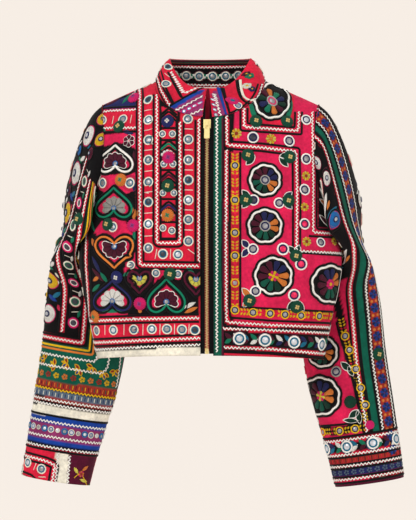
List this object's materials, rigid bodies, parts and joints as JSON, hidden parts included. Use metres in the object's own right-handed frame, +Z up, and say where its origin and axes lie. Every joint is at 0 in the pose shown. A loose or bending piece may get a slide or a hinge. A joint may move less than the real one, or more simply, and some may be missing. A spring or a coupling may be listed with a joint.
{
  "type": "cropped zip-front jacket",
  "caption": "Cropped patchwork jacket with a stand collar, full-length front zip and long sleeves, zipped up and filled out as if worn, with nobody inside.",
  "frame": {"origin": "middle of the neck base: on the line of the front zip, level with the neck ends of the shoulder seams, in the plane of those seams", "axes": "+Z up the body; -Y is the front with the zip; +X is the wearer's left"},
  "size_m": [0.6696, 0.2231, 0.7466],
  "materials": {
    "crimson_cotton": "quilted and embroidered",
    "black_cotton": "covered in cord and thread work",
    "green_cotton": "printed and embroidered",
    "black_tape": "woven zip tape",
    "brass": "polished",
    "button_green": "wound thread",
    "button_pink": "wound thread",
    "button_orange": "wound thread",
    "button_navy": "wound thread"
  },
  "bodies": {
    "jacket": {"back": "crimson_cotton", "button_back_01": "button_green", "button_back_02": "button_green", "button_back_03": "button_green", "button_back_04": "button_green", "button_back_05": "button_green", "button_back_06": "button_green", "button_back_07": "button_green", "button_back_08": "button_green", "button_front_left_01": "button_green", "button_front_left_02": "button_green", "button_front_left_03": "button_green", "button_front_left_04": "button_green", "button_front_left_05": "button_green", "button_front_left_06": "button_green", "button_front_left_07": "button_green", "button_front_left_08": "button_green", "button_front_left_09": "button_green", "button_front_right_01": "button_pink", "button_front_right_02": "button_green", "button_front_right_03": "button_orange", "button_front_right_04": "button_green", "button_front_right_05": "button_pink", "button_front_right_06": "button_orange", "button_front_right_07": "button_navy", "button_front_right_08": "button_pink", "button_front_right_09": "button_green", "button_front_right_10": "button_orange", "button_front_right_11": "button_green", "button_front_right_12": "button_pink", "button_sleeve_left_01": "button_green", "button_sleeve_left_02": "button_green", "button_sleeve_left_03": "button_green", "button_sleeve_right_01": "button_green", "button_sleeve_right_02": "button_green", "collar": "crimson_cotton", "front_left": "crimson_cotton", "front_right": "black_cotton", "sleeve_left": "crimson_cotton", "sleeve_right": "green_cotton", "zip_box": "brass", "zip_chain": "brass", "zip_slider": "brass", "zip_tape_left": "black_tape", "zip_tape_right": "black_tape"},
    "pull_tab": {"zip_pull": "brass"}
  },
  "joints": [
    {"name": "pull_hinge", "type": "hinge", "parent": "jacket", "child": "pull_tab", "pos_m": [0, -0.08693, -0.0756], "axis": [-1, 0, 0], "range_deg": [0, 160]}
  ]
}
